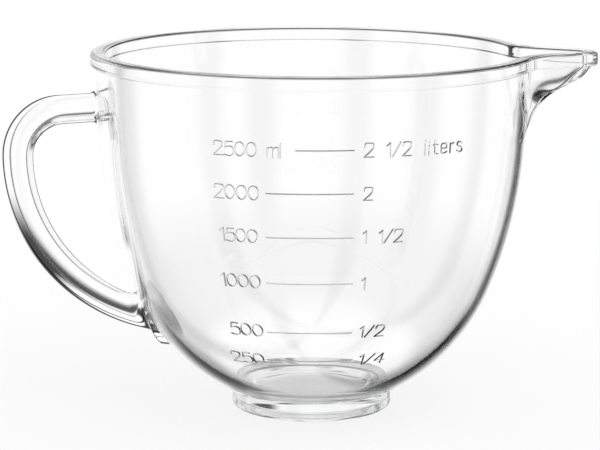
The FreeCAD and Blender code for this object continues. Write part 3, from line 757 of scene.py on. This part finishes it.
def add_boards(tree, way):
    """Tone of the room by bearing: dark within a few degrees of each board.

    The bearing atan2(y, x) is folded into one period, so that a board's middle
    lies at half a period, and the tone falls softly from its outer to its inner edge.
    """
    bearing = node(tree, "ShaderNodeMath", {"operation": "ARCTAN2"},
                   i0=way.outputs["Y"], i1=way.outputs["X"])
    turned_by = node(tree, "ShaderNodeMath", {"operation": "ADD"},
                     {1: BOARD_PERIOD / 2 - BOARD_MIDDLE}, i0=bearing.outputs[0])
    fold = node(tree, "ShaderNodeMath", {"operation": "PINGPONG"}, {1: BOARD_PERIOD / 2},
                i0=turned_by.outputs[0])
    return node(tree, "ShaderNodeMapRange", {"interpolation_type": "SMOOTHSTEP"},
                {"From Min": BOARD_PERIOD / 2 - BOARD_OUTER, "From Max": BOARD_PERIOD / 2 - BOARD_INNER,
                 "To Min": 1.0, "To Max": BOARD_TONE}, Value=fold.outputs[0])


# %% [markdown]
# ## Floor and a card of painted shade
# The floor is white and keeps the bowl's shadow. Only the camera and scattered
# light see it: rays bent or mirrored by the glass pass it and meet the room, where
# a dark band lower down shades undersides, rim lines and raised marks. A small
# glowing grey card under the foot is painted shade: it stands in for the shadow
# under the foot as seen through the glass floor, and only the glass sees it.


# %% Flat squares for the stage
def staged_square(name, half, z, paint):
    """A square of the given half width at height z, with the given paint."""
    corners = [(-half, -half, z), (half, -half, z), (half, half, z), (-half, half, z)]
    mesh = bpy.data.meshes.new(name)
    mesh.from_pydata(corners, [], [(0, 1, 2, 3)])
    mesh.materials.append(paint)
    square = bpy.data.objects.new(name, mesh)
    bpy.context.scene.collection.objects.link(square)
    return square


def share_by_distance(tree, near, far, low, high):
    """A smooth step from low to high between two distances from the axis."""
    place = node(tree, "ShaderNodeTexCoord")
    distance = node(tree, "ShaderNodeVectorMath", {"operation": "LENGTH"},
                    i0=place.outputs["Object"])
    return node(tree, "ShaderNodeMapRange", {"interpolation_type": "SMOOTHSTEP"},
                {"From Min": near, "From Max": far, "To Min": low, "To Max": high},
                Value=distance.outputs["Value"]).outputs["Result"]


# %% White floor
# Near the bowl the camera sees 15 percent of the painted floor, which carries the
# shadow, and the rest is plain white. Far away all of it is plain white.
FLOOR_HALF = 9.0
FLOOR_COLOUR = (0.9, 0.9, 0.9, 1)
WHITE = (1, 1, 1, 1)
floor_paint, tree = bare_material("white_studio_floor")
path = node(tree, "ShaderNodeLightPath")
paint = node(tree, "ShaderNodeBsdfDiffuse", values={"Color": FLOOR_COLOUR})
glow = node(tree, "ShaderNodeEmission", values={"Color": WHITE, "Strength": 1.0})
share = node(tree, "ShaderNodeMath", {"operation": "MULTIPLY"},
             i0=path.outputs["Is Camera Ray"], i1=share_by_distance(tree, 0.1, 0.6, 0.85, 1.0))
mix = node(tree, "ShaderNodeMixShader", i0=share.outputs[0], i1=paint.outputs[0], i2=glow.outputs[0])
node(tree, "ShaderNodeOutputMaterial", Surface=mix.outputs[0])
floor = staged_square("floor", FLOOR_HALF, 0.0, floor_paint)
floor.visible_transmission = floor.visible_glossy = False
print("floor: %.0f m square" % (2 * FLOOR_HALF))

# %% Painted shade under the glass: a grey card which only the glass sees
CARD_HALF, CARD_DEPTH = 0.07, 0.001
# Painted shade: the card glows at this fixed grey in place of the shadow under the foot, as the glass
# sees it.
PAINTED_SHADE_TONE = 0.33
painted_shade_paint, tree = bare_material("painted_shade_card")
grey = node(tree, "ShaderNodeEmission", values={"Color": WHITE, "Strength": PAINTED_SHADE_TONE})
clear = node(tree, "ShaderNodeBsdfTransparent")
mix = node(tree, "ShaderNodeMixShader", i0=share_by_distance(tree, 0.02, 0.05, 0.0, 1.0),
           i1=grey.outputs[0], i2=clear.outputs[0])
node(tree, "ShaderNodeOutputMaterial", Surface=mix.outputs[0])
# Painted shade: a glowing grey sheet under the foot, seen only through the glass, stands in for the
# shadow there.
card = staged_square("painted_shade_under_foot", CARD_HALF, -CARD_DEPTH, painted_shade_paint)
card.visible_shadow = False
print("card: %.0f mm square" % (2 * CARD_HALF / MM))

# %% [markdown]
# ## White room with a dark band
# The band is what lies beyond the table's edge in a studio. It starts 18 to 35
# degrees below the horizon and ends at 45 to 56, so level views and views from
# above still look through white glass. The camera itself sees a white room.

# %% The room as a world
BAND_TONE = 0.07
BAND_START = np.sin(np.radians([-18.0, -35.0])).tolist()
BAND_END = np.sin(np.radians([-45.0, -56.0])).tolist()
room = bpy.data.worlds.new("white_room")
bpy.context.scene.world = room
room.use_nodes = True
tree = room.node_tree
tree.nodes.clear()
place = node(tree, "ShaderNodeTexCoord")
path = node(tree, "ShaderNodeLightPath")
way = node(tree, "ShaderNodeSeparateXYZ", Vector=place.outputs["Generated"])
below = node(tree, "ShaderNodeMapRange", {"interpolation_type": "SMOOTHSTEP"},
             {"From Min": BAND_START[1], "From Max": BAND_START[0], "To Min": BAND_TONE, "To Max": 1.0},
             Value=way.outputs["Z"])
steep = node(tree, "ShaderNodeMapRange", {"interpolation_type": "SMOOTHSTEP"},
             {"From Min": BAND_END[1], "From Max": BAND_END[0], "To Min": 1.0, "To Max": 0.0},
             Value=way.outputs["Z"])
band = node(tree, "ShaderNodeMath", {"operation": "MAXIMUM"},
            i0=below.outputs["Result"], i1=steep.outputs["Result"])
tone = node(tree, "ShaderNodeMath", {"operation": "MULTIPLY"},
            i0=band.outputs[0], i1=add_boards(tree, way).outputs["Result"])
white = node(tree, "ShaderNodeMath", {"operation": "MAXIMUM"},
             i0=tone.outputs[0], i1=path.outputs["Is Camera Ray"])
sky = node(tree, "ShaderNodeBackground", values={"Color": WHITE}, Strength=white.outputs[0])
node(tree, "ShaderNodeOutputWorld", Surface=sky.outputs[0])
print("boards every %.0f degrees" % math.degrees(BOARD_PERIOD))

# %% [markdown]
# ## Lamp and camera
# One soft box overhead gives the bowl its shadow on the floor. It isn't mirrored
# or seen through the glass, where it would show as a square patch. The camera's
# lens and place were solved from the rim's ellipse in the photograph.

# %% Soft lamp
LAMP_PLACE, LAMP_TARGET = Vector((0.5, -0.5, 1.9)), Vector((0, 0, 0.05))
LAMP_SIZE, LAMP_POWER = 1.2, 9.0
lamp = bpy.data.lights.new("overhead_softbox", "AREA")
lamp.size = LAMP_SIZE
lamp.energy = LAMP_POWER
held = bpy.data.objects.new("overhead_softbox", lamp)
held.location = LAMP_PLACE
held.rotation_euler = (LAMP_TARGET - LAMP_PLACE).to_track_quat("-Z", "Y").to_euler()
held.visible_glossy = held.visible_transmission = False
bpy.context.scene.collection.objects.link(held)
print("lamp %.2f m from the bowl" % (LAMP_TARGET - LAMP_PLACE).length)

# %% Camera at the photograph's angle
# The focal length is 2400 pixels for a frame 600 pixels wide.
SENSOR_WIDTH = 36.0
FRAME_WIDTH, FOCAL_PIXELS = 600, 2400
DISTANCE, ELEVATION, ROLL = 1.118, math.radians(10.786), math.radians(0.18)
target = Vector((-0.0056, 0.0, 0.085))
eye = target + DISTANCE * Vector((0, -math.cos(ELEVATION), math.sin(ELEVATION)))
lens = bpy.data.cameras.new("camera")
lens.sensor_width = SENSOR_WIDTH
lens.lens = SENSOR_WIDTH * FOCAL_PIXELS / FRAME_WIDTH
lens.clip_start, lens.clip_end = 0.05, 100.0
camera = bpy.data.objects.new("camera", lens)
facing = (target - eye).to_track_quat("-Z", "Y").to_matrix().to_4x4()
camera.matrix_world = Matrix.Translation(eye) @ facing @ Matrix.Rotation(ROLL, 4, "Z")
bpy.context.scene.collection.objects.link(camera)
bpy.context.scene.camera = camera
bpy.context.scene.view_settings.view_transform = "Standard"
print("lens %.0f mm" % lens.lens)

# %% Bounces
# Light is led along the handle and the wall by many inner mirrorings, and would
# turn black where the count ran out.
GLASS_BOUNCES = 64
cycles = bpy.context.scene.cycles
cycles.max_bounces = cycles.transmission_bounces = GLASS_BOUNCES
cycles.glossy_bounces = GLASS_BOUNCES // 2
cycles.diffuse_bounces = 3
